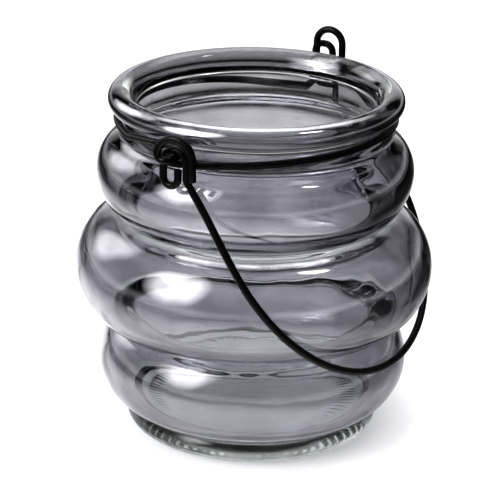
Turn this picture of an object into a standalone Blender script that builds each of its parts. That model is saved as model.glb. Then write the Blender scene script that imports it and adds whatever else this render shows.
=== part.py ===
"""Hooped glass lantern jar with a swinging wire handle.

One glass jar, two half rings of wire hooked together round its neck, and a wire handle whose
long eyes swing on the neck wires. Metres, +Z up. The jar's axis is Z and it stands on z = 0.
The front ear is at -Y, the back ear at +Y, and the handle hangs down on the +X side.
"""
from math import acos, atan2, cos, hypot, pi, radians, sin, tan

import bmesh
import bpy
from mathutils import Vector

# ---- glass jar: crests and waists as (radius, height) ----
RIM_CENTRE = (0.0368, 0.0943)
RIM_HALF_WIDTH = 0.0038
RIM_HALF_HEIGHT = 0.0033
GROOVE_RADIUS = 0.0367
GROOVE_BOTTOM = 0.0843
SHOULDER = (0.0384, 0.0832)
UPPER_CREST = (0.0439, 0.0744)
UPPER_WAIST = (0.0363, 0.0622)
MIDDLE_CREST = (0.0500, 0.0465)
LOWER_WAIST = (0.0366, 0.0312)
LOWER_CREST = (0.0436, 0.0188)
FOOT_WAIST = (0.0341, 0.0064)
FOOT_RADIUS = 0.0357
FOOT_FLAT_RADIUS = 0.0334
FOOT_ROUNDING = ((-0.0006, 0.0009), (0.0, 0.0026), (-0.0004, 0.0046))
SMALL_BULGE_POWER = 1.75
MIDDLE_BULGE_POWER = 1.95
WALL = 0.0028
NECK_WALL = 0.0035
THROAT_TOP = 0.0905
THROAT_BOTTOM = 0.0860
FLOOR_HEIGHT = 0.0062
FLOOR_RADIUS = 0.0270
RIDGE_TURNS = (0.25 * pi, 0.0, -0.25 * pi)
JAR_SIDES = 48
BULGE_STEPS = 4
RIM_STEPS = 7
JAR_SHARP_ANGLE = radians(50.0)
SMOKE_GLASS = (0.45, 0.45, 0.50)

# ---- wire ----
WIRE_RADIUS = 0.0010
WIRE_GAP = 0.0003
WIRE_ROUNDNESS = 2
BEND_STEP = radians(22.0)
RING_STEP = radians(7.5)
STRAIGHT_ENOUGH = radians(1.0)
LEAST_RUN = 0.00002
BEND_SLACK = 0.00001
BLACK_PAINT = (0.012, 0.012, 0.013)
RING_RADIUS = GROOVE_RADIUS + WIRE_GAP + WIRE_RADIUS
RING_LOW = 0.0862
RING_BOW = 0.0033

# ---- ears: distances from the jar's axis of the planes that the wires lie in ----
PIN_HEIGHT = 0.0900
PIN_BEND = 0.0014
RISE_PLANE = 0.0398
HOOK_PLANE = 0.0426
EYE_PLANE = 0.0454
CURL_PLANE = 0.0482

# ---- curls, rises and hooks, as (across, height) corners in their planes ----
LARGE_CURL = ((0.0072, 0.0856), (0.0068, 0.0964), (-0.0032, 0.0964), (-0.0032, 0.0903))
LARGE_CURL_BENDS = (0.0, 0.00499, 0.00499, PIN_BEND)
SMALL_CURL = ((0.0060, 0.0936), (0.0058, 0.0970), (0.0007, 0.0970))
SMALL_CURL_BENDS = (0.0, 0.0024, 0.0024)
RISE_FOOT = (0.0036, 0.0870)
HOOK_PLAY = 0.00005
HOOK_GRIP = 2.0 * WIRE_RADIUS + WIRE_GAP + HOOK_PLAY
HOOK_REACH = 0.0069
HOOK_END = 0.0055
HOOK_BEND = 0.0030
HOOK_LEAVES_RING = radians(35.0)

# ---- handle ----
REST_LEAN = radians(34.7)
HANDLE_TWIST = radians(3.2)
HANDLE_HALF_WIDTH = 0.0485
HANDLE_LEG = 0.0348
HANDLE_BOW = 0.0432
HANDLE_NECK = 0.0125
LEG_STEPS = 6
BOW_STEPS = 26

# ---- the handle's eyes: each one's sides along X, top and bottom ----
FRONT_EYE = (-0.0030, 0.0038, 0.0924, 0.0826)
BACK_EYE = (-0.0042, 0.0039, 0.1023, 0.0871)
EYE_END = 0.0013
FRONT_EYE_END_RISE = 0.0048
EYE_END_BEND = 0.0021
HEEL_BEND = 0.0030


def clear_scene():
    """Remove whatever objects the scene starts with."""
    for old in list(bpy.data.objects):
        bpy.data.objects.remove(old, do_unlink=True)


def make_material(name, colour, roughness, metallic, transmission):
    """A Principled BSDF material."""
    made = bpy.data.materials.new(name)
    made.use_nodes = True
    shader = made.node_tree.nodes["Principled BSDF"]
    shader.inputs["Base Color"].default_value = (*colour, 1.0)
    shader.inputs["Roughness"].default_value = roughness
    shader.inputs["Metallic"].default_value = metallic
    shader.inputs["Transmission Weight"].default_value = transmission
    return made


# ---- the jar ----

def bulge_side(crest, waist, power, steps):
    """Points of a rounded bulge from its crest to a waist, with both ends included."""
    points = []
    for step in range(steps + 1):
        turn = 0.5 * pi * step / steps
        out = max(cos(turn), 0.0) ** (2.0 / power)
        along = sin(turn) ** (2.0 / power)
        radius = waist[0] + (crest[0] - waist[0]) * out
        height = crest[1] + (waist[1] - crest[1]) * along
        points.append(Vector((radius, height)))
    return points


def bulge(upper_waist, crest, lower_waist, power):
    """A whole bulge, from its upper waist over the crest to its lower waist."""
    upper = bulge_side(crest, upper_waist, power, BULGE_STEPS)
    lower = bulge_side(crest, lower_waist, power, BULGE_STEPS)
    return upper[::-1] + lower[1:]


def rim_point(turn):
    """A point of the rolled rim's oval section, at an angle from its outer side."""
    radius = RIM_CENTRE[0] + RIM_HALF_WIDTH * cos(turn)
    height = RIM_CENTRE[1] + RIM_HALF_HEIGHT * sin(turn)
    return Vector((radius, height))


def outer_wall():
    """The outside of the three bulges, from the shoulder down to the foot's waist."""
    small = SMALL_BULGE_POWER
    points = bulge(SHOULDER, UPPER_CREST, UPPER_WAIST, small)
    points += bulge(UPPER_WAIST, MIDDLE_CREST, LOWER_WAIST, MIDDLE_BULGE_POWER)[1:]
    points += bulge(LOWER_WAIST, LOWER_CREST, FOOT_WAIST, small)[1:]
    return points


def inward(points, place):
    """The direction into the glass at a point of a wall that is listed from top to bottom."""
    before = points[max(place - 1, 0)]
    after = points[min(place + 1, len(points) - 1)]
    along = (after - before).normalized()
    return Vector((along.y, -along.x))


def inner_wall(outer):
    """The inside of the bulges: the outer wall moved in, with round ridges inside the waists."""
    waists = (UPPER_WAIST, LOWER_WAIST)
    points = []
    for place, point in enumerate(outer[:-1]):
        if any((point - Vector(waist)).length < LEAST_RUN for waist in waists):
            for turn in RIDGE_TURNS:
                points.append(point + WALL * Vector((-cos(turn), sin(turn))))
        else:
            points.append(point + WALL * inward(outer, place))
    return [point for point in points if point.y > FLOOR_HEIGHT + WALL]


def jar_profile():
    """The jar's section from the underside's centre, up the outside and down the inside."""
    outer = outer_wall()
    neck_turn = -acos((GROOVE_RADIUS - RIM_CENTRE[0]) / RIM_HALF_WIDTH)
    rim_turns = [neck_turn + (pi - neck_turn) * step / RIM_STEPS for step in range(RIM_STEPS + 1)]
    foot = [Vector((0.0, 0.0)), Vector((FOOT_FLAT_RADIUS, 0.0))]
    foot += [Vector((FOOT_RADIUS + out, height)) for out, height in FOOT_ROUNDING]
    neck = [Vector((GROOVE_RADIUS, GROOVE_BOTTOM))]
    rim = [rim_point(turn) for turn in rim_turns]
    throat_radius = GROOVE_RADIUS - NECK_WALL
    throat = [Vector((throat_radius, THROAT_TOP)), Vector((throat_radius, THROAT_BOTTOM))]
    floor = [Vector((FLOOR_RADIUS, FLOOR_HEIGHT)), Vector((0.0, FLOOR_HEIGHT))]
    return foot + outer[::-1] + neck + rim + throat + inner_wall(outer) + floor


def make_jar():
    """The glass body, turned from its section as one closed solid."""
    shape = bmesh.new()
    places = [shape.verts.new((point.x, 0.0, point.y)) for point in jar_profile()]
    section = [shape.edges.new(pair) for pair in zip(places, places[1:])]
    bmesh.ops.spin(
        shape, geom=places + section, cent=(0, 0, 0), axis=(0, 0, 1),
        angle=2.0 * pi, steps=JAR_SIDES, use_merge=True,
    )
    bmesh.ops.remove_doubles(shape, verts=shape.verts, dist=LEAST_RUN)
    bmesh.ops.recalc_face_normals(shape, faces=shape.faces)
    mesh = bpy.data.meshes.new("glass_jar")
    shape.to_mesh(mesh)
    shape.free()
    mesh.shade_smooth()
    mesh.set_sharp_from_angle(angle=JAR_SHARP_ANGLE)
    mesh.materials.append(make_material("smoke_glass", SMOKE_GLASS, 0.05, 0.0, 1.0))
    jar = bpy.data.objects.new("glass_jar", mesh)
    bpy.context.scene.collection.objects.link(jar)


# ---- bent wire ----

def bend(before, corner, after, radius):
    """The points of a bend of a given radius at a corner of a wire's path."""
    back = (before - corner).normalized()
    on = (after - corner).normalized()
    turn = pi - back.angle(on)
    if turn < STRAIGHT_ENOUGH:
        return [corner]
    run = radius * tan(0.5 * turn)
    start = corner + run * back
    middle = corner + (back + on).normalized() * (radius / cos(0.5 * turn))
    count = max(2, round(turn / BEND_STEP))
    out = start - middle
    side = -back
    points = []
    for step in range(count + 1):
        angle = turn * step / count
        points.append(middle + out * cos(angle) + side * radius * sin(angle))
    return points


def bent_path(corners):
    """A wire's path through (point, bend radius) pairs, with every corner rounded."""
    points = [corners[0][0]]
    for before, here, after in zip(corners, corners[1:], corners[2:]):
        points += bend(before[0], here[0], after[0], here[1])
    points.append(corners[-1][0])
    return points


def without_repeats(points):
    """The path without points that fall on the one before."""
    kept = [points[0]]
    for point in points[1:]:
        if (point - kept[-1]).length > LEAST_RUN:
            kept.append(point)
    return kept


def make_wire(name, points, material):
    """A round wire along a path, closed at both ends, as a mesh object."""
    curve = bpy.data.curves.new(name, "CURVE")
    curve.dimensions = "3D"
    curve.bevel_depth = WIRE_RADIUS
    curve.bevel_resolution = WIRE_ROUNDNESS
    curve.use_fill_caps = True
    path = curve.splines.new("POLY")
    path.points.add(len(points) - 1)
    for slot, point in zip(path.points, points):
        slot.co = (*point, 1.0)
    curve.materials.append(material)
    wire = bpy.data.objects.new(name, curve)
    bpy.context.scene.collection.objects.link(wire)
    return wire


# ---- neck wires ----

def ear_point(across, out, height):
    """A point at an ear: to the right as seen from outside, out from the axis, and up."""
    return Vector((across, -out, height))


def curl_corners(large):
    """A neck wire's end that carries the handle: its curl, its pin and its rise to the pin."""
    places, bends = (LARGE_CURL, LARGE_CURL_BENDS) if large else (SMALL_CURL, SMALL_CURL_BENDS)
    corners = []
    for (across, height), radius in zip(places, bends):
        corners.append((ear_point(across, CURL_PLANE, height), radius))
    return corners + [
        (ear_point(0.0, CURL_PLANE, PIN_HEIGHT), PIN_BEND),
        (ear_point(0.0, RISE_PLANE, PIN_HEIGHT), PIN_BEND),
        (ear_point(RISE_FOOT[0], RISE_PLANE, RISE_FOOT[1]), PIN_BEND),
    ]


def hook_corners():
    """A neck wire's other end: a hook round the pin, between the neck and the eye."""
    top = PIN_HEIGHT + HOOK_GRIP
    bottom = PIN_HEIGHT - HOOK_GRIP
    return [
        (ear_point(-HOOK_REACH, HOOK_PLANE, top), HOOK_BEND),
        (ear_point(HOOK_GRIP, HOOK_PLANE, top), HOOK_GRIP - BEND_SLACK),
        (ear_point(HOOK_GRIP, HOOK_PLANE, bottom), HOOK_GRIP - BEND_SLACK),
        (ear_point(-HOOK_END, HOOK_PLANE, bottom), 0.0),
    ]


def ring_point(turn):
    """A point of the ring in the neck groove, at an angle from the front ear towards +X.

    The ring lies low at its ears and bows up under the rim between them.
    """
    height = RING_LOW + RING_BOW * sin(turn)
    return Vector((RING_RADIUS * sin(turn), -RING_RADIUS * cos(turn), height))


def half_ring(large_curl):
    """The path of the half ring on the +X side, from its front curl to its back hook."""
    foot_reach = hypot(RISE_FOOT[0], RISE_PLANE)
    start = atan2(RISE_FOOT[0], RISE_PLANE) + acos(RING_RADIUS / foot_reach)
    end = pi - HOOK_LEAVES_RING
    count = round((end - start) / RING_STEP)
    ring = [ring_point(start + (end - start) * step / count) for step in range(count + 1)]
    hook = []
    for point, radius in hook_corners():
        hook.append((Vector((-point.x, -point.y, point.z)), radius))
    front = bent_path(curl_corners(large_curl) + [(ring[0], 0.0)])
    back = bent_path([(ring[-1], 0.0)] + hook)
    return without_repeats(front + ring[1:] + back[1:])


def make_neck_wires(material):
    """Two half rings, the second one turned half round, each hooked round the other's pin."""
    make_wire("neck_wire_right", half_ring(True), material)
    turned = [Vector((-point.x, -point.y, point.z)) for point in half_ring(False)]
    make_wire("neck_wire_left", turned, material)


# ---- handle ----

def on_handle(across, down):
    """A point in the handle's plane: along Y, and down the lean from the hinge line."""
    return Vector((down * sin(REST_LEAN), across, PIN_HEIGHT - down * cos(REST_LEAN)))


def bow_point(across, down):
    """A point of the handle's bow, which sits a little askew in the handle's plane."""
    turned_across = across * cos(HANDLE_TWIST) + down * sin(HANDLE_TWIST)
    turned_down = down * cos(HANDLE_TWIST) - across * sin(HANDLE_TWIST)
    return on_handle(turned_across, turned_down)


def eye_corners(plane, eye, end_rise):
    """A long eye, from its end to the point where it turns into the handle's leg."""
    left, right, top, bottom = eye
    heel = PIN_HEIGHT - right / tan(REST_LEAN)
    end = [(Vector((EYE_END, plane, bottom + end_rise)), 0.0)]
    if end_rise:
        end.append((Vector((EYE_END, plane, bottom)), EYE_END_BEND))
    round_top = 0.5 * (right - left) - BEND_SLACK
    return end + [
        (Vector((left, plane, bottom)), EYE_END_BEND),
        (Vector((left, plane, top)), round_top),
        (Vector((right, plane, top)), round_top),
        (Vector((right, plane, heel)), HEEL_BEND),
        (on_handle(plane, HANDLE_NECK), 0.0),
    ]


def leg(start, start_way, end, end_way):
    """The handle's leg: a smooth cubic between two points, without its ends."""
    reach = (end - start).length
    points = []
    for step in range(1, LEG_STEPS):
        part = step / LEG_STEPS
        rest = 1.0 - part
        points.append(
            start * rest ** 2 * (1.0 + 2.0 * part) + start_way * reach * part * rest ** 2
            + end * part ** 2 * (1.0 + 2.0 * rest) - end_way * reach * rest * part ** 2
        )
    return points


def bow():
    """The handle's bow between its two legs."""
    points = []
    for step in range(BOW_STEPS + 1):
        turn = pi * step / BOW_STEPS
        across = -HANDLE_HALF_WIDTH * cos(turn)
        down = HANDLE_LEG + HANDLE_BOW * sin(turn)
        points.append(bow_point(across, down))
    return points


def make_handle(material):
    """The wire handle: an eye, a bow and an eye, bent from one wire."""
    middle = bow()
    front = bent_path(eye_corners(-EYE_PLANE, FRONT_EYE, FRONT_EYE_END_RISE))
    back = bent_path(eye_corners(EYE_PLANE, BACK_EYE, 0.0))
    plane_down = Vector((sin(REST_LEAN), 0.0, -cos(REST_LEAN)))
    bow_down = (bow_point(0.0, 1.0) - bow_point(0.0, 0.0)).normalized()
    front_leg = leg(front[-1], plane_down, middle[0], bow_down)
    back_leg = leg(back[-1], plane_down, middle[-1], bow_down)
    path = front + front_leg + middle + back_leg[::-1] + back[::-1]
    return make_wire("wire_handle", without_repeats(path), material)


def hang_on(pivot_name, height, piece):
    """An empty on the jar's axis at a joint's height, with the moving piece as its child."""
    pivot = bpy.data.objects.new(pivot_name, None)
    bpy.context.scene.collection.objects.link(pivot)
    pivot.location = (0.0, 0.0, height)
    piece.parent = pivot
    piece.location = (0.0, 0.0, -height)


def main():
    """Build the lantern."""
    clear_scene()
    make_jar()
    black = make_material("black_wire", BLACK_PAINT, 0.30, 0.0, 0.0)
    make_neck_wires(black)
    handle = make_handle(black)
    hang_on("handle_pivot", PIN_HEIGHT, handle)


main()
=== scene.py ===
"""The looks of the hooped glass lantern jar: smoke glass, black wire, floor, light and camera."""
from math import acos, atan2, cos, exp, hypot, pi, radians, sin, tan

import bmesh
import bpy
from mathutils import Matrix, Vector


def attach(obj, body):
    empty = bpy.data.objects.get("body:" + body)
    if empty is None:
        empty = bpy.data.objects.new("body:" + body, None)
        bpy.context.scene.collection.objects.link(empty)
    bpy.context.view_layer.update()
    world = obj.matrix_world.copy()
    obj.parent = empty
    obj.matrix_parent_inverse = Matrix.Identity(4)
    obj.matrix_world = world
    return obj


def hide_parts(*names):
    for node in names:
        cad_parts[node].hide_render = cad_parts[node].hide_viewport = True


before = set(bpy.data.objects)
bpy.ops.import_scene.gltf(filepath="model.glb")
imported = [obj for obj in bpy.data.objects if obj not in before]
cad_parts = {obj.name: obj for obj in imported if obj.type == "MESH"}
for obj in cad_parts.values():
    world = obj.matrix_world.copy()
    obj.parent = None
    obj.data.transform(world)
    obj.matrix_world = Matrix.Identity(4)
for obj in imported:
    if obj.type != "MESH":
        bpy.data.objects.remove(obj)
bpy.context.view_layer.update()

HAIR = 1e-5  # metres: less than anything that shows

# ---- the jar's section in metres: crests and waists as (radius, height) ----
RIM_CENTRE = (0.0368, 0.0943)
RIM_HALF_WIDTH = 0.0038
RIM_HALF_HEIGHT = 0.0033
GROOVE_RADIUS = 0.0367
GROOVE_BOTTOM = 0.0843
SHOULDER = (0.0384, 0.0832)
UPPER_CREST = (0.0439, 0.0744)
UPPER_WAIST = (0.0363, 0.0622)
MIDDLE_CREST = (0.0500, 0.0465)
LOWER_WAIST = (0.0366, 0.0312)
LOWER_CREST = (0.0436, 0.0188)
FOOT_WAIST = (0.0341, 0.0064)
FOOT_RADIUS = 0.0357
FOOT_FLAT_RADIUS = 0.0334
FOOT_ROUNDING = ((-0.0006, 0.0009), (0.0, 0.0026), (-0.0004, 0.0046))
SMALL_BULGE_POWER = 1.75
MIDDLE_BULGE_POWER = 1.95

# ---- the wall, its inside, and the knurled ring of the underside ----
WALL = 0.0028
WAIST_WALL = 0.0034
WAIST_SPREAD = 0.0040
NECK_WALL = 0.0035
THROAT_TOP = 0.0905
THROAT_BOTTOM = 0.0860
FLOOR_HEIGHT = 0.0062
FLOOR_RADIUS = 0.0270
STIPPLES = 72
STIPPLE_DEPTH = 0.0004
STIPPLE_RING = (0.0265, 0.0325)

# ---- how finely the jar's section is drawn and smoothed ----
JAR_SIDES = 288
LINE_STEP = 0.0004
RIM_STEPS = 60
RIM_INNER_STEPS = 30
BULGE_STEPS = 40
RIDGE_STEPS = 12
TANGENT_REACH = 2
FILLET_ROUNDS = 14
OUTER_ROUNDS = 6
INNER_ROUNDS = 40

# ---- wire ----
WIRE_RADIUS = 0.0010
WIRE_GAP = 0.0003
BEND_STEP = radians(6.0)
RING_STEP = radians(1.5)
STRAIGHT_ENOUGH = radians(1.0)
SHARP_ANGLE = radians(60.0)
WIRE_SIDES = 24
WIRE_LINE_STEP = 0.0012
END_CHAMFER = ((0.0, 0.55), (0.00008, 0.80), (0.00022, 0.95), (0.00040, 1.0))
RING_RADIUS = GROOVE_RADIUS + WIRE_GAP + WIRE_RADIUS
RING_LOW = 0.0862
RING_BOW = 0.0033

# ---- ears: distances from the jar's axis of the planes that the wires lie in ----
PIN_HEIGHT = 0.0900
PIN_BEND = 0.0014
RISE_PLANE = 0.0398
HOOK_PLANE = 0.0426
EYE_PLANE = 0.0454
CURL_PLANE = 0.0482

# ---- curls, rises and hooks, as (across, height) corners in their planes ----
LARGE_CURL = ((0.0072, 0.0856), (0.0068, 0.0964), (-0.0032, 0.0964), (-0.0032, 0.0903))
LARGE_CURL_BENDS = (0.0, 0.00499, 0.00499, PIN_BEND)
SMALL_CURL = ((0.0060, 0.0936), (0.0058, 0.0970), (0.0007, 0.0970))
SMALL_CURL_BENDS = (0.0, 0.0024, 0.0024)
RISE_FOOT = (0.0036, 0.0870)
HOOK_PLAY = 0.00005
HOOK_GRIP = 2.0 * WIRE_RADIUS + WIRE_GAP + HOOK_PLAY
HOOK_REACH = 0.0069
HOOK_END = 0.0055
HOOK_BEND = 0.0030
HOOK_LEAVES_RING = radians(35.0)

# ---- handle ----
REST_LEAN = radians(34.7)
HANDLE_TWIST = radians(3.2)
HANDLE_HALF_WIDTH = 0.0485
HANDLE_LEG = 0.0348
HANDLE_BOW = 0.0432
HANDLE_NECK = 0.0125
LEG_STEPS = 30
BOW_STEPS = 120

# ---- the handle's eyes: each one's sides along X, top and bottom ----
FRONT_EYE = (-0.0030, 0.0038, 0.0924, 0.0826)
BACK_EYE = (-0.0042, 0.0039, 0.1023, 0.0871)
EYE_END = 0.0013
FRONT_EYE_END_RISE = 0.0048
EYE_END_BEND = 0.0021
HEEL_BEND = 0.0030

# A ramp, here and below, is (from, to, value at from, value at to), held beyond both ends.
# A grain is (cycles per metre, detail) of a noise.

# ---- the smoke lustre's tint: dark on the rim's face, a painted shade, lighter on its top, a painted highlight, patchy lower down ----
RIM_FACE_PAINTED_SHADE = (0.045, 0.043, 0.052)
SMOKE_DEEP = (0.155, 0.149, 0.172)
SMOKE_THIN = (0.365, 0.353, 0.396)
RIM_TOP_PAINTED_LIGHT = (0.62, 0.61, 0.64)
SMOKE_STOPS = (0.0, 0.33, 0.8, 1.0)
# the next two ramps paint light on the rim's top and let the rim's face fall to the painted-shade
# colour
RIM_TOP_PAINTED_LIGHT_RAMP = (0.0948, 0.0970, 0.0, 1.0)
RIM_FACE_PAINTED_SHADE_RAMP = (0.0895, 0.0915, 1.0, 0.0)
CLOUD_GRAIN = (38.0, 4.0)
CLOUD_STRETCH = (1.0, 1.0, 0.6)

# ---- where the lustre lies: none at the foot, little in the creases, which makes lighter bands there as a painted highlight ----
FOOT_TINT = (0.62, 0.665, 0.65)
LUSTRE_COVER = (0.0045, 0.0085, 0.0, 1.0)
CREASES = (RIM_CENTRE[1] - RIM_HALF_HEIGHT, UPPER_WAIST[1], LOWER_WAIST[1])
CREASE_PAINTED_HIGHLIGHT = (0.0002, 0.0007, 0.15, 1.0)

# ---- how much of the outside mirrors like metal ----
MIRROR_COLOUR = (0.88, 0.87, 0.92)
MIRROR_ROUGHNESS = 0.06
MIRROR_GRAIN = (90.0, 3.0)
MIRROR_PATCHES = (0.06, 0.13)
MIRROR_AT_EDGE = (0.03, 1.0, 0.0, 0.6)
EDGE_IOR = 1.45
RIM_MIRROR = (0.0905, 0.0965, 0.0, 0.26)

# ---- glass ----
GLASS_IOR = 1.52
FOOT_FROST = (0.0004, 0.0008, 0.14, 0.01)
OUTER_RIPPLE = (34.0, 2.0)
OUTER_RIPPLE_HEIGHT = 0.0012
OUTER_SHADOW = (0.85, 0.85, 0.87)
INNER_TINTS = ((0.93, 0.94, 0.95), (0.97, 0.98, 0.98))
INNER_TINT_GRAIN = (60.0, 3.0)
INNER_RIPPLE = (55.0, 2.0)
INNER_RIPPLE_HEIGHT = 0.0004
INNER_SHADOW = (0.95, 0.95, 0.95)

# ---- paint on the wire ----
PAINT_TINTS = ((0.001, 0.001, 0.0015), (0.005, 0.005, 0.006))
PAINT_TINT_GRAIN = (900.0, 4.0)
PAINT_ROUGHNESS = (0.26, 0.42)
PAINT_ROUGHNESS_GRAIN = (500.0, 3.0)
PAINT_GLOSS = 0.28
PAINT_BUMPS = (1400.0, 3.0)
PAINT_BUMP_HEIGHT = 0.00003

# ---- noise values mostly lie between these ----
NOISE_SPREAD = (0.3, 0.7)

# ---- camera ----
VIEW_TARGET = Vector((0.0, 0.0, 0.045))
VIEW_DISTANCE = 0.600
VIEW_AZIMUTH = radians(27.5)
VIEW_ELEVATION = radians(22.0)
VIEW_PITCH = -0.0070
VIEW_YAW = -0.0019
VIEW_ROLL = 0.0181
LENS = 153.73
SENSOR = 36.0

# ---- level directions from the jar: away from the camera's side, and to the camera's right ----
BEHIND = (-sin(VIEW_AZIMUTH), cos(VIEW_AZIMUTH), 0.0)
ASIDE = (cos(VIEW_AZIMUTH), sin(VIEW_AZIMUTH), 0.0)

# ---- the room's brightness, as ramps over a direction's reach behind or its height ----
BACKDROP = (0.86, 0.955, 0.015, 0.8)
OVERHEAD = (0.75, 0.95, 0.02, 0.12)
HORIZON = (0.06, 0.18, 0.60, 0.01)
WHITE = 0.92

# ---- the floor: painted shade, dark everywhere the glass sees it except a table near the jar and the floor far off, and a painted glow that fades to white for the camera ----
TABLE_EDGE = (0.22, 0.60, 1.0, 0.03)
TABLE_LEFT = (-0.22, -0.09, 0.03, 1.0)
TABLE_RIGHT = (0.02, 0.12, 1.0, 0.03)
TABLE_FRONT = (-0.22, -0.08, 0.40, 1.0)
FAR_FLOOR = (0.80, 1.20, 0.0, 0.60)
PAINTED_GLOW_FADE = (0.03, 0.26, 0.0, 1.0)
PALE = (0.90, 0.90, 0.90)
PAPER_GRAIN = (60.0, 6.0)
PAPER_SPECKLE = (0.97, 1.0)
PAPER_ROUGHNESS = 0.9
PAPER_GLOSS = 0.1
FLOOR_HALF = 6.0
FLOOR_DROP = 0.0001

# ---- soft boxes: name, turn from the camera's side, rise, size, power, seen in the glass ----
SOFT_BOXES = (
    ("key_box", -57.0, 34.0, (1.3, 1.9), 17.0, True),
    ("key_core", -60.0, 41.0, (0.38, 0.38), 2.2, True),
    ("small_box", 88.0, 66.0, (0.20, 0.30), 1.2, True),
    ("left_box", -128.0, 26.0, (1.1, 1.3), 5.0, True),
    ("back_box", 180.0, 56.0, (2.2, 1.2), 8.0, True),
    ("fill_box", 20.0, 80.0, (1.6, 1.6), 23.0, False),
)
BOX_DISTANCE = 1.6
BOX_TARGET = Vector((0.0, 0.0, 0.05))
BOX_FALLOFF = (0.24, 0.50, 1.9, 0.0)


# ---- nodes ----

def new_material(name):
    """An empty node material, its tree, its Principled BSDF and its output."""
    made = bpy.data.materials.new(name)
    made.use_nodes = True
    tree = made.node_tree
    return made, tree, tree.nodes["Principled BSDF"], tree.nodes["Material Output"]


def add_node(tree, kind, **values):
    """A node with some of its inputs (by socket name) or properties set."""
    made = tree.nodes.new(kind)
    for key, value in values.items():
        if hasattr(made, key):
            setattr(made, key, value)
        else:
            made.inputs[key.replace("_", " ")].default_value = value
    return made


def own_place(tree):
    """The piece's own coordinates, in metres."""
    return add_node(tree, "ShaderNodeTexCoord").outputs["Object"]


def height_of(tree, place):
    """The Z of a place or a direction."""
    made = add_node(tree, "ShaderNodeSeparateXYZ")
    tree.links.new(place, made.inputs["Vector"])
    return made.outputs["Z"]


def reach_along(tree, place, direction):
    """How far a place or a direction reaches along a fixed direction."""
    made = add_node(tree, "ShaderNodeVectorMath", operation="DOT_PRODUCT")
    made.inputs[1].default_value = direction
    tree.links.new(place, made.inputs[0])
    return made.outputs["Value"]


def length_of(tree, place):
    """A place's distance from the origin."""
    made = add_node(tree, "ShaderNodeVectorMath", operation="LENGTH")
    tree.links.new(place, made.inputs[0])
    return made.outputs["Value"]


def combined(tree, operation, one, other):
    """Two values put together."""
    made = add_node(tree, "ShaderNodeMath", operation=operation)
    tree.links.new(one, made.inputs[0])
    tree.links.new(other, made.inputs[1])
    return made.outputs["Value"]


def product(tree, one, other):
    """Two values multiplied."""
    return combined(tree, "MULTIPLY", one, other)


def greater(tree, one, other):
    """The greater of two values."""
    return combined(tree, "MAXIMUM", one, other)


def noise(tree, place, grain, stretch=(1.0, 1.0, 1.0)):
    """A noise texture in the piece's own coordinates."""
    scale, detail = grain
    mapping = add_node(tree, "ShaderNodeMapping")
    mapping.inputs["Scale"].default_value = stretch
    made = add_node(tree, "ShaderNodeTexNoise", Scale=scale, Detail=detail)
    tree.links.new(place, mapping.inputs["Vector"])
    tree.links.new(mapping.outputs["Vector"], made.inputs["Vector"])
    return made.outputs["Fac"]


def remap(tree, value, low, high, to_low, to_high):
    """A value carried from one range to another, held at its ends."""
    made = add_node(tree, "ShaderNodeMapRange", clamp=True)
    made.inputs["From Min"].default_value = low
    made.inputs["From Max"].default_value = high
    made.inputs["To Min"].default_value = to_low
    made.inputs["To Max"].default_value = to_high
    tree.links.new(value, made.inputs["Value"])
    return made.outputs["Result"]


def varied(tree, place, grain, low, high, stretch=(1.0, 1.0, 1.0)):
    """A value that varies from place to place between two limits."""
    return remap(tree, noise(tree, place, grain, stretch), *NOISE_SPREAD, low, high)


def blended(tree, value, colours, stops=(0.0, 1.0)):
    """A colour blended between several, by a value from 0 to 1."""
    made = add_node(tree, "ShaderNodeValToRGB")
    elements = made.color_ramp.elements
    while len(elements) < len(stops):
        elements.new(0.5)
    for element, stop, colour in zip(elements, stops, colours):
        element.position = stop
        element.color = (*colour, 1.0)
    tree.links.new(value, made.inputs["Fac"])
    return made.outputs["Color"]


def bump(tree, height, distance):
    """A bump from a height value."""
    made = add_node(tree, "ShaderNodeBump", Strength=1.0, Distance=distance)
    tree.links.new(height, made.inputs["Height"])
    return made.outputs["Normal"]


def mixed(tree, share, one, other):
    """Two shaders mixed, with more of the other as the share rises."""
    made = add_node(tree, "ShaderNodeMixShader")
    tree.links.new(share, made.inputs["Fac"])
    tree.links.new(one, made.inputs[1])
    tree.links.new(other, made.inputs[2])
    return made.outputs["Shader"]


# ---- materials ----

def lit_through(tree, shader, output, shade):
    """Let light pass straight through the glass for shadows, dimmed by the glass's shade."""
    path = add_node(tree, "ShaderNodeLightPath")
    clear = add_node(tree, "ShaderNodeBsdfTransparent")
    clear.inputs["Color"].default_value = (*shade, 1.0)
    lit = mixed(tree, path.outputs["Is Shadow Ray"], shader, clear.outputs["BSDF"])
    tree.links.new(lit, output.inputs["Surface"])


def painted_crease_highlight(tree, height, crease):
    """How much lustre has reached the glass at a height, which is little in a crease: a lighter
    band there, a painted highlight.
    """
    offset = add_node(tree, "ShaderNodeMath", operation="SUBTRACT")
    tree.links.new(height, offset.inputs[0])
    offset.inputs[1].default_value = crease
    away = add_node(tree, "ShaderNodeMath", operation="ABSOLUTE")
    tree.links.new(offset.outputs["Value"], away.inputs[0])
    return remap(tree, away.outputs["Value"], *CREASE_PAINTED_HIGHLIGHT)


def lustre_cover_and_crease_highlight(tree, height):
    """How much of the glass at a height has lustre on it, with less in the creases as a painted
    highlight.
    """
    cover_and_crease_highlight = remap(tree, height, *LUSTRE_COVER)
    # each crease gets a band of barely tinted glass, a painted highlight for the bright lines
    # along the waists and under the rim
    for crease in CREASES:
        cover_and_crease_highlight = product(tree, cover_and_crease_highlight, painted_crease_highlight(tree, height, crease))
    return cover_and_crease_highlight


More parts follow.
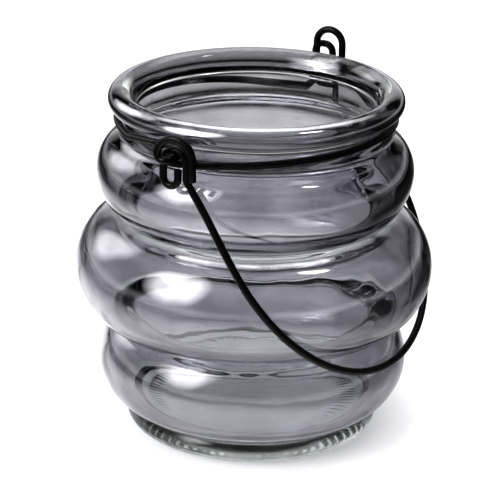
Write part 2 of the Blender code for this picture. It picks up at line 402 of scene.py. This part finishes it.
def smoke_tint(tree, place, height, cover_and_crease_highlight):
    """The colour of the light that gets through: smoke where the lustre lies, else bare glass,
    with painted shade on the rim's face and a painted highlight on its top.
    """
    clouds = varied(tree, place, CLOUD_GRAIN, SMOKE_STOPS[1], SMOKE_STOPS[2], CLOUD_STRETCH)
    # the rim's face is tinted nearly black, a painted shade, and its top is tinted light, a
    # painted highlight
    body = product(tree, clouds, remap(tree, height, *RIM_FACE_PAINTED_SHADE_RAMP))
    tint_with_painted_rim_light_and_shade = greater(tree, body, remap(tree, height, *RIM_TOP_PAINTED_LIGHT_RAMP))
    smoke = blended(tree, tint_with_painted_rim_light_and_shade, (RIM_FACE_PAINTED_SHADE, SMOKE_DEEP, SMOKE_THIN, RIM_TOP_PAINTED_LIGHT), SMOKE_STOPS)
    made = add_node(tree, "ShaderNodeMix", data_type="RGBA")
    made.inputs[6].default_value = (*FOOT_TINT, 1.0)
    tree.links.new(cover_and_crease_highlight, made.inputs[0])
    tree.links.new(smoke, made.inputs[7])
    return made.outputs[2]


def mirror_share(tree, place, height, ripple, cover_and_crease_highlight):
    """How much the lustre mirrors: more at a glancing angle and on the rim."""
    patches = varied(tree, place, MIRROR_GRAIN, *MIRROR_PATCHES)
    edge = add_node(tree, "ShaderNodeFresnel", IOR=EDGE_IOR)
    tree.links.new(ripple, edge.inputs["Normal"])
    glancing = remap(tree, edge.outputs["Fac"], *MIRROR_AT_EDGE)
    rim = remap(tree, height, *RIM_MIRROR)
    return product(tree, greater(tree, greater(tree, patches, glancing), rim), cover_and_crease_highlight)


def glass_material():
    """The jar's outside: smoke lustre over glass, fading out to clear glass at the foot."""
    made, tree, shader, output = new_material("smoke_lustre_glass_painted_rim_and_creases")
    place = own_place(tree)
    height = height_of(tree, place)
    cover_and_crease_highlight = lustre_cover_and_crease_highlight(tree, height)
    tint = smoke_tint(tree, place, height, cover_and_crease_highlight)
    tree.links.new(tint, shader.inputs["Base Color"])
    tree.links.new(remap(tree, height, *FOOT_FROST), shader.inputs["Roughness"])
    shader.inputs["IOR"].default_value = GLASS_IOR
    shader.inputs["Transmission Weight"].default_value = 1.0
    ripple = bump(tree, noise(tree, place, OUTER_RIPPLE), OUTER_RIPPLE_HEIGHT)
    tree.links.new(ripple, shader.inputs["Normal"])
    mirror = add_node(tree, "ShaderNodeBsdfAnisotropic", Roughness=MIRROR_ROUGHNESS)
    mirror.inputs["Color"].default_value = (*MIRROR_COLOUR, 1.0)
    tree.links.new(ripple, mirror.inputs["Normal"])
    share = mirror_share(tree, place, height, ripple, cover_and_crease_highlight)
    coated = mixed(tree, share, shader.outputs["BSDF"], mirror.outputs["BSDF"])
    lit_through(tree, coated, output, OUTER_SHADOW)
    return made


def clear_glass_material():
    """The jar's inside: bare pressed glass with a faint ripple."""
    made, tree, shader, output = new_material("bare_glass")
    place = own_place(tree)
    tint = blended(tree, noise(tree, place, INNER_TINT_GRAIN), INNER_TINTS)
    tree.links.new(tint, shader.inputs["Base Color"])
    shader.inputs["Roughness"].default_value = 0.0
    shader.inputs["IOR"].default_value = GLASS_IOR
    shader.inputs["Transmission Weight"].default_value = 1.0
    ripple = bump(tree, noise(tree, place, INNER_RIPPLE), INNER_RIPPLE_HEIGHT)
    tree.links.new(ripple, shader.inputs["Normal"])
    lit_through(tree, shader.outputs["BSDF"], output, INNER_SHADOW)
    return made


def wire_material():
    """Gloss black paint on wire, with the slight unevenness of a dipped coat."""
    made, tree, shader, output = new_material("black_wire_paint")
    place = own_place(tree)
    tint = blended(tree, noise(tree, place, PAINT_TINT_GRAIN), PAINT_TINTS)
    tree.links.new(tint, shader.inputs["Base Color"])
    rough = varied(tree, place, PAINT_ROUGHNESS_GRAIN, *PAINT_ROUGHNESS)
    tree.links.new(rough, shader.inputs["Roughness"])
    shader.inputs["Specular IOR Level"].default_value = PAINT_GLOSS
    bumps = bump(tree, noise(tree, place, PAINT_BUMPS), PAINT_BUMP_HEIGHT)
    tree.links.new(bumps, shader.inputs["Normal"])
    return made


def floor_material():
    """Pale paper that fades to white away from the jar, with painted shade and a painted glow.

    Glass sees it bright only as a table near the jar, and again far off; in between it is painted
    dark, a painted shade which gives the glass its dark lines.
    The fade to white is a painted glow that only the camera sees; near the jar it lightens the
    jar's shadow.
    """
    made, tree, shader, output = new_material("pale_floor_painted_shade_and_glow")
    place = own_place(tree)
    reach = length_of(tree, place)
    aside = reach_along(tree, place, ASIDE)
    # painted shade: the floor is painted near black outside the table, to the sides and towards
    # the front, and the glass shows this as dark lines
    sides = product(tree, remap(tree, aside, *TABLE_LEFT), remap(tree, aside, *TABLE_RIGHT))
    table = product(tree, remap(tree, reach, *TABLE_EDGE), sides)
    front = remap(tree, reach_along(tree, place, BEHIND), *TABLE_FRONT)
    near = product(tree, table, front)
    painted_level_in_glass = greater(tree, near, remap(tree, reach, *FAR_FLOOR))
    camera = add_node(tree, "ShaderNodeLightPath").outputs["Is Camera Ray"]
    speckle = varied(tree, place, PAPER_GRAIN, *PAPER_SPECKLE)
    shown = product(tree, greater(tree, painted_level_in_glass, camera), speckle)
    pale = blended(tree, shown, ((0.0, 0.0, 0.0), PALE))
    tree.links.new(pale, shader.inputs["Base Color"])
    shader.inputs["Roughness"].default_value = PAPER_ROUGHNESS
    shader.inputs["Specular IOR Level"].default_value = PAPER_GLOSS
    # painted glow: camera rays see a white emission that rises away from the jar, lifting the
    # floor to white and lightening the jar's shadow
    glow = add_node(tree, "ShaderNodeEmission", Strength=WHITE)
    far = product(tree, remap(tree, reach, *PAINTED_GLOW_FADE), camera)
    faded = mixed(tree, far, shader.outputs["BSDF"], glow.outputs["Emission"])
    tree.links.new(faded, output.inputs["Surface"])
    return made


# ---- paths and meshes ----

def resample(points, step):
    """Points at an even spacing along a path."""
    lengths = [0.0]
    for a, b in zip(points, points[1:]):
        lengths.append(lengths[-1] + (b - a).length)
    count = max(2, round(lengths[-1] / step))
    made = []
    place = 0
    for number in range(count + 1):
        want = lengths[-1] * number / count
        while place < len(points) - 2 and lengths[place + 1] < want:
            place += 1
        span = lengths[place + 1] - lengths[place]
        part = 0.0 if span == 0 else (want - lengths[place]) / span
        made.append(points[place].lerp(points[place + 1], min(max(part, 0.0), 1.0)))
    return made


def smooth(points, rounds):
    """The path with its corners rounded, ends kept."""
    for _ in range(rounds):
        middle = [(a + 2.0 * b + c) / 4.0 for a, b, c in zip(points, points[1:], points[2:])]
        points = [points[0]] + middle + [points[-1]]
    return points


def join_rings(shape, one, other):
    """Faces between two neighbouring rings of points, either of which may be a single point."""
    count = max(len(one), len(other))
    for number in range(count):
        on = (number + 1) % count
        if len(one) == 1:
            shape.faces.new((one[0], other[number], other[on]))
        elif len(other) == 1:
            shape.faces.new((one[number], one[on], other[0]))
        else:
            shape.faces.new((one[number], one[on], other[on], other[number]))


def smooth_mesh(name, shape):
    """The finished shape as a smooth-shaded mesh with its faces turned outwards."""
    bmesh.ops.recalc_face_normals(shape, faces=shape.faces)
    mesh = bpy.data.meshes.new(name)
    shape.to_mesh(mesh)
    shape.free()
    mesh.shade_smooth()
    return mesh


def put_in_scene(name, data):
    """A new object in the scene."""
    made = bpy.data.objects.new(name, data)
    bpy.context.scene.collection.objects.link(made)
    return made


# ---- the jar ----

def bulge_side(crest, waist, power):
    """Points of a rounded bulge from its crest to a waist, with both ends included."""
    points = []
    for step in range(BULGE_STEPS + 1):
        turn = 0.5 * pi * step / BULGE_STEPS
        out = max(cos(turn), 0.0) ** (2.0 / power)
        along = sin(turn) ** (2.0 / power)
        radius = waist[0] + (crest[0] - waist[0]) * out
        height = crest[1] + (waist[1] - crest[1]) * along
        points.append(Vector((radius, height)))
    return points


def bulge(upper_waist, crest, lower_waist, power):
    """A whole bulge, from its upper waist over the crest to its lower waist."""
    upper = bulge_side(crest, upper_waist, power)
    lower = bulge_side(crest, lower_waist, power)
    return upper[::-1] + lower[1:]


def bulges():
    """The outsides of the three bulges, each from top to bottom."""
    return [
        bulge(SHOULDER, UPPER_CREST, UPPER_WAIST, SMALL_BULGE_POWER),
        bulge(UPPER_WAIST, MIDDLE_CREST, LOWER_WAIST, MIDDLE_BULGE_POWER),
        bulge(LOWER_WAIST, LOWER_CREST, FOOT_WAIST, SMALL_BULGE_POWER),
    ]


def rim_point(turn):
    """A point of the rolled rim's oval section."""
    radius = RIM_CENTRE[0] + RIM_HALF_WIDTH * cos(turn)
    height = RIM_CENTRE[1] + RIM_HALF_HEIGHT * sin(turn)
    return Vector((radius, height))


def thickness(point):
    """The wall's thickness at a point of the outside: greatest in the waists."""
    near = min((point - Vector(waist)).length for waist in (UPPER_WAIST, LOWER_WAIST))
    return WALL + (WAIST_WALL - WALL) * exp(-(near / WAIST_SPREAD) ** 2)


def moved_in(points):
    """A wall listed from top to bottom, moved in by the glass's thickness."""
    made = []
    for place, point in enumerate(points):
        before = points[max(place - TANGENT_REACH, 0)]
        after = points[min(place + TANGENT_REACH, len(points) - 1)]
        along = (after - before).normalized()
        made.append(point + thickness(point) * Vector((along.y, -along.x)))
    return made


def outer_side():
    """The outside, from the rim's top down to the middle of the underside."""
    neck_turn = -acos((GROOVE_RADIUS - RIM_CENTRE[0]) / RIM_HALF_WIDTH)
    start = 0.5 * pi
    rim = []
    for step in range(RIM_STEPS + 1):
        rim.append(rim_point(start + (neck_turn - start) * step / RIM_STEPS))
    neck = [Vector((GROOVE_RADIUS, GROOVE_BOTTOM))]
    hoops = [point for outside in bulges() for point in outside]
    wall = smooth(resample(rim[-1:] + neck + hoops, LINE_STEP), FILLET_ROUNDS)
    foot = [Vector((FOOT_RADIUS + out, height)) for out, height in FOOT_ROUNDING[::-1]]
    under = [Vector((FOOT_FLAT_RADIUS, 0.0)), Vector((0.0, 0.0))]
    return rim + wall[1:] + foot + under


def inner_wall():
    """The inside of the bulges: the outside moved in, with round ridges inside the waists."""
    wall = []
    for outside in bulges():
        if wall:
            for step in range(1, RIDGE_STEPS):
                turn = pi * (0.5 - step / RIDGE_STEPS)
                wall.append(outside[0] + WAIST_WALL * Vector((-cos(turn), sin(turn))))
        wall += moved_in(resample(outside, LINE_STEP))
    kept = [wall[0]]
    for point in wall[1:]:
        if FLOOR_HEIGHT + WALL < point.y < kept[-1].y:
            kept.append(point)
    return kept


def inner_side():
    """The inside, from the rim's top down to the middle of the floor."""
    rim = []
    for step in range(RIM_INNER_STEPS + 1):
        rim.append(rim_point(0.5 * pi + 0.5 * pi * step / RIM_INNER_STEPS))
    radius = GROOVE_RADIUS - NECK_WALL
    throat = [Vector((radius, THROAT_TOP)), Vector((radius, THROAT_BOTTOM))]
    floor = [Vector((FLOOR_RADIUS, FLOOR_HEIGHT)), Vector((0.0, FLOOR_HEIGHT))]
    return rim + throat + inner_wall() + floor


def stipple(point, turn):
    """How far the knurl pressed into the underside lifts a point of it."""
    inside, outside = STIPPLE_RING
    if point.y > HAIR or not inside < point.x < outside:
        return 0.0
    across = sin(pi * (point.x - inside) / (outside - inside))
    return STIPPLE_DEPTH * across * (0.5 - 0.5 * cos(STIPPLES * turn))


def turned_ring(shape, point):
    """One point of the section carried round Z, or a single point where it lies on the axis."""
    if point.x < HAIR:
        return [shape.verts.new((0.0, 0.0, point.y))]
    ring = []
    for side in range(JAR_SIDES):
        turn = 2.0 * pi * side / JAR_SIDES
        height = point.y + stipple(point, turn)
        ring.append(shape.verts.new((point.x * cos(turn), point.x * sin(turn), height)))
    return ring


def make_jar():
    """The glass jar: one closed section turned round Z, lustred outside and bare inside."""
    outer = smooth(resample(outer_side(), LINE_STEP), OUTER_ROUNDS)
    inner = smooth(resample(inner_side(), LINE_STEP), INNER_ROUNDS)
    shape = bmesh.new()
    rings = [turned_ring(shape, point) for point in outer[::-1] + inner[1:]]
    for one, other in zip(rings, rings[1:]):
        join_rings(shape, one, other)
    mesh = smooth_mesh("smoke_glass_jar", shape)
    mesh.materials.append(glass_material())
    mesh.materials.append(clear_glass_material())
    outer_bands = len(outer) - 1
    for number, face in enumerate(mesh.polygons):
        if number // JAR_SIDES >= outer_bands:
            face.material_index = 1
    jar = put_in_scene("smoke_glass_jar", mesh)
    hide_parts("glass_jar")
    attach(jar, "jar")


# ---- bent wire ----

def bend(before, corner, after, radius):
    """The points of a bend of a given radius at a corner of a wire's path."""
    back = (before - corner).normalized()
    on = (after - corner).normalized()
    turn = pi - back.angle(on)
    if turn < STRAIGHT_ENOUGH:
        return [corner]
    run = radius * tan(0.5 * turn)
    start = corner + run * back
    middle = corner + (back + on).normalized() * (radius / cos(0.5 * turn))
    count = max(2, round(turn / BEND_STEP))
    out = start - middle
    side = -back
    points = []
    for step in range(count + 1):
        angle = turn * step / count
        points.append(middle + out * cos(angle) + side * radius * sin(angle))
    return points


def bent_path(corners):
    """A wire's path through (point, bend radius) pairs, with every corner rounded."""
    points = [corners[0][0]]
    for before, here, after in zip(corners, corners[1:], corners[2:]):
        points += bend(before[0], here[0], after[0], here[1])
    points.append(corners[-1][0])
    return points


def without_repeats(points):
    """The path without points that fall on the one before."""
    kept = [points[0]]
    for point in points[1:]:
        if (point - kept[-1]).length > 2.0 * HAIR:
            kept.append(point)
    return kept


def cut_shorter(points):
    """The path with long straight runs cut into shorter ones."""
    made = [points[0]]
    for before, after in zip(points, points[1:]):
        count = max(1, round((after - before).length / WIRE_LINE_STEP))
        made += [before.lerp(after, step / count) for step in range(1, count + 1)]
    return made


def cross_frames(points):
    """For each point of a path, two directions across it that don't twist along the path."""
    ways = []
    for place in range(len(points)):
        before = points[max(place - 1, 0)]
        after = points[min(place + 1, len(points) - 1)]
        ways.append((after - before).normalized())
    side = ways[0].orthogonal().normalized()
    frames = []
    for way in ways:
        side = (side - side.dot(way) * way).normalized()
        frames.append((side, way.cross(side)))
    return frames


def chamfered(points):
    """(point, radius share) along a wire whose cut ends are slightly rounded by the paint."""
    first = (points[1] - points[0]).normalized()
    last = (points[-2] - points[-1]).normalized()
    start = [(points[0] + first * along, share) for along, share in END_CHAMFER]
    end = [(points[-1] + last * along, share) for along, share in END_CHAMFER]
    reach = END_CHAMFER[-1][0] + HAIR
    middle = []
    for point in points[1:-1]:
        if min((point - points[0]).length, (point - points[-1]).length) > reach:
            middle.append((point, 1.0))
    return start + middle + end[::-1]


def make_wire(name, points, material, body, node_name):
    """A round, painted wire along a path."""
    path = chamfered(cut_shorter(points))
    frames = cross_frames([point for point, share in path])
    shape = bmesh.new()
    rings = []
    for (point, share), (side, over) in zip(path, frames):
        ring = []
        for number in range(WIRE_SIDES):
            turn = 2.0 * pi * number / WIRE_SIDES
            off = cos(turn) * side + sin(turn) * over
            ring.append(shape.verts.new(point + off * (WIRE_RADIUS * share)))
        rings.append(ring)
    for one, other in zip(rings, rings[1:]):
        join_rings(shape, one, other)
    shape.faces.new(rings[0][::-1])
    shape.faces.new(rings[-1])
    mesh = smooth_mesh(name, shape)
    mesh.set_sharp_from_angle(angle=SHARP_ANGLE)
    mesh.materials.append(material)
    wire = put_in_scene(name, mesh)
    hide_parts(node_name)
    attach(wire, body)


# ---- neck wires ----

def ear_point(across, out, height):
    """A point at an ear: to the right as seen from outside, out from the axis, and up."""
    return Vector((across, -out, height))


def half_round(point):
    """A point carried half a turn round the jar's axis, from one ear to the other."""
    return Vector((-point.x, -point.y, point.z))


def curl_corners(large):
    """A neck wire's end that carries the handle: its curl, its pin and its rise to the pin."""
    places, bends = (LARGE_CURL, LARGE_CURL_BENDS) if large else (SMALL_CURL, SMALL_CURL_BENDS)
    corners = []
    for (across, height), radius in zip(places, bends):
        corners.append((ear_point(across, CURL_PLANE, height), radius))
    return corners + [
        (ear_point(0.0, CURL_PLANE, PIN_HEIGHT), PIN_BEND),
        (ear_point(0.0, RISE_PLANE, PIN_HEIGHT), PIN_BEND),
        (ear_point(RISE_FOOT[0], RISE_PLANE, RISE_FOOT[1]), PIN_BEND),
    ]


def hook_corners():
    """A neck wire's other end: a hook round the pin, between the neck and the eye."""
    top = PIN_HEIGHT + HOOK_GRIP
    bottom = PIN_HEIGHT - HOOK_GRIP
    return [
        (ear_point(-HOOK_REACH, HOOK_PLANE, top), HOOK_BEND),
        (ear_point(HOOK_GRIP, HOOK_PLANE, top), HOOK_GRIP - HAIR),
        (ear_point(HOOK_GRIP, HOOK_PLANE, bottom), HOOK_GRIP - HAIR),
        (ear_point(-HOOK_END, HOOK_PLANE, bottom), 0.0),
    ]


def ring_point(turn):
    """A point of the ring in the neck groove, at an angle from the front ear towards +X.

    The ring lies low at its ears and bows up under the rim between them.
    """
    height = RING_LOW + RING_BOW * sin(turn)
    return Vector((RING_RADIUS * sin(turn), -RING_RADIUS * cos(turn), height))


def half_ring(large_curl):
    """The path of the half ring on the +X side, from its front curl to its back hook."""
    foot_reach = hypot(RISE_FOOT[0], RISE_PLANE)
    start = atan2(RISE_FOOT[0], RISE_PLANE) + acos(RING_RADIUS / foot_reach)
    end = pi - HOOK_LEAVES_RING
    count = round((end - start) / RING_STEP)
    ring = [ring_point(start + (end - start) * step / count) for step in range(count + 1)]
    hook = [(half_round(point), radius) for point, radius in hook_corners()]
    front = bent_path(curl_corners(large_curl) + [(ring[0], 0.0)])
    back = bent_path([(ring[-1], 0.0)] + hook)
    return without_repeats(front + ring[1:] + back[1:])


def make_neck_wires(material):
    """Two half rings, the second one turned half round, each hooked round the other's pin."""
    make_wire("ring_wire_right", half_ring(True), material, "neck_ring", "neck_wire_right")
    turned = [half_round(point) for point in half_ring(False)]
    make_wire("ring_wire_left", turned, material, "neck_ring", "neck_wire_left")


# ---- handle ----

def on_handle(across, down):
    """A point in the handle's plane: along Y, and down the lean from the hinge line."""
    return Vector((down * sin(REST_LEAN), across, PIN_HEIGHT - down * cos(REST_LEAN)))


def bow_point(across, down):
    """A point of the handle's bow, which sits a little askew in the handle's plane."""
    turned_across = across * cos(HANDLE_TWIST) + down * sin(HANDLE_TWIST)
    turned_down = down * cos(HANDLE_TWIST) - across * sin(HANDLE_TWIST)
    return on_handle(turned_across, turned_down)


def eye_corners(plane, eye, end_rise):
    """A long eye, from its end to the point where it turns into the handle's leg."""
    left, right, top, bottom = eye
    heel = PIN_HEIGHT - right / tan(REST_LEAN)
    end = [(Vector((EYE_END, plane, bottom + end_rise)), 0.0)]
    if end_rise:
        end.append((Vector((EYE_END, plane, bottom)), EYE_END_BEND))
    round_top = 0.5 * (right - left) - HAIR
    return end + [
        (Vector((left, plane, bottom)), EYE_END_BEND),
        (Vector((left, plane, top)), round_top),
        (Vector((right, plane, top)), round_top),
        (Vector((right, plane, heel)), HEEL_BEND),
        (on_handle(plane, HANDLE_NECK), 0.0),
    ]


def leg(start, start_way, end, end_way):
    """The handle's leg: a smooth cubic between two points, without its ends."""
    reach = (end - start).length
    points = []
    for step in range(1, LEG_STEPS):
        part = step / LEG_STEPS
        rest = 1.0 - part
        points.append(
            start * rest ** 2 * (1.0 + 2.0 * part) + start_way * reach * part * rest ** 2
            + end * part ** 2 * (1.0 + 2.0 * rest) - end_way * reach * rest * part ** 2
        )
    return points


def bow():
    """The handle's bow between its two legs."""
    points = []
    for step in range(BOW_STEPS + 1):
        turn = pi * step / BOW_STEPS
        across = -HANDLE_HALF_WIDTH * cos(turn)
        down = HANDLE_LEG + HANDLE_BOW * sin(turn)
        points.append(bow_point(across, down))
    return points


def make_handle(material):
    """The wire handle: an eye, a leg, a bow, a leg and an eye, bent from one wire."""
    middle = bow()
    front = bent_path(eye_corners(-EYE_PLANE, FRONT_EYE, FRONT_EYE_END_RISE))
    back = bent_path(eye_corners(EYE_PLANE, BACK_EYE, 0.0))
    plane_down = Vector((sin(REST_LEAN), 0.0, -cos(REST_LEAN)))
    bow_down = (bow_point(0.0, 1.0) - bow_point(0.0, 0.0)).normalized()
    front_leg = leg(front[-1], plane_down, middle[0], bow_down)
    back_leg = leg(back[-1], plane_down, middle[-1], bow_down)
    path = front + front_leg + middle + back_leg[::-1] + back[::-1]
    make_wire("bail_wire", without_repeats(path), material, "handle", "wire_handle")


# ---- stage ----

def make_floor():
    """A wide pale floor, a hair below the jar's foot."""
    half = FLOOR_HALF
    corners = [(-half, -half, 0.0), (half, -half, 0.0), (half, half, 0.0), (-half, half, 0.0)]
    mesh = bpy.data.meshes.new("floor")
    mesh.from_pydata(corners, [], [(0, 1, 2, 3)])
    mesh.materials.append(floor_material())
    floor = put_in_scene("floor", mesh)
    floor.location.z = -FLOOR_DROP


def make_world():
    """A studio: a lit backdrop behind the jar, a pale band along the horizon and a dim ceiling.

    The camera itself sees plain white.
    """
    world = bpy.data.worlds.new("studio")
    bpy.context.scene.world = world
    world.use_nodes = True
    tree = world.node_tree
    way = add_node(tree, "ShaderNodeTexCoord").outputs["Generated"]
    height = height_of(tree, way)
    backdrop = remap(tree, reach_along(tree, way, BEHIND), *BACKDROP)
    room = greater(tree, remap(tree, height, *OVERHEAD), remap(tree, height, *HORIZON))
    camera = add_node(tree, "ShaderNodeLightPath").outputs["Is Camera Ray"]
    white = remap(tree, camera, 0.0, 1.0, 0.0, WHITE)
    level = greater(tree, greater(tree, backdrop, room), white)
    background = tree.nodes["Background"]
    tree.links.new(level, background.inputs["Strength"])
    background.inputs["Color"].default_value = (1.0, 1.0, 1.0, 1.0)


def soften(light):
    """Let a soft box's brightness fall off smoothly from its middle to its edges."""
    light.use_nodes = True
    tree = light.node_tree
    centred = add_node(tree, "ShaderNodeVectorMath", operation="SUBTRACT")
    centred.inputs[1].default_value = (0.5, 0.5, 0.0)
    across = add_node(tree, "ShaderNodeNewGeometry").outputs["Parametric"]
    tree.links.new(across, centred.inputs[0])
    level = remap(tree, length_of(tree, centred.outputs["Vector"]), *BOX_FALLOFF)
    tree.links.new(level, tree.nodes["Emission"].inputs["Strength"])


def from_camera_side(turn, rise, distance):
    """A place at an angle round from the camera's side, to the right, and above the floor."""
    heading = VIEW_AZIMUTH + turn
    flat = distance * cos(rise)
    return Vector((flat * sin(heading), -flat * cos(heading), distance * sin(rise)))


def add_lights():
    """The soft boxes, all at one distance and facing the jar."""
    for name, turn, rise, size, power, seen in SOFT_BOXES:
        light = bpy.data.lights.new(name, "AREA")
        light.shape = "RECTANGLE"
        light.size, light.size_y = size
        light.energy = power
        soften(light)
        box = put_in_scene(name, light)
        box.location = BOX_TARGET + from_camera_side(radians(turn), radians(rise), BOX_DISTANCE)
        box.rotation_mode = "QUATERNION"
        box.rotation_quaternion = (BOX_TARGET - box.location).to_track_quat("-Z", "Y")
        box.visible_glossy = seen
        box.visible_transmission = seen


def make_camera():
    """The camera, on a circle round the jar, with the small tilts it is held at."""
    level = cos(VIEW_ELEVATION)
    back = Vector((sin(VIEW_AZIMUTH) * level, -cos(VIEW_AZIMUTH) * level, sin(VIEW_ELEVATION)))
    heading = VIEW_AZIMUTH - VIEW_YAW
    fall = VIEW_ELEVATION + VIEW_PITCH
    ahead = Vector((-sin(heading) * cos(fall), cos(heading) * cos(fall), -sin(fall)))
    right = ahead.cross(Vector((0, 0, 1))).normalized()
    up = right.cross(ahead)
    right_rolled = cos(VIEW_ROLL) * right + sin(VIEW_ROLL) * up
    up_rolled = cos(VIEW_ROLL) * up - sin(VIEW_ROLL) * right
    turn = Matrix((right_rolled, up_rolled, -ahead)).transposed()
    data = bpy.data.cameras.new("camera")
    data.lens = LENS
    data.sensor_width = SENSOR
    camera = put_in_scene("camera", data)
    camera.location = VIEW_TARGET + VIEW_DISTANCE * back
    camera.rotation_mode = "QUATERNION"
    camera.rotation_quaternion = turn.to_quaternion()
    bpy.context.scene.camera = camera


make_camera()
make_jar()
paint = wire_material()
make_neck_wires(paint)
make_handle(paint)
make_floor()
make_world()
add_lights()
bpy.context.scene.view_settings.view_transform = "Standard"
bpy.context.scene.view_settings.look = "High Contrast"
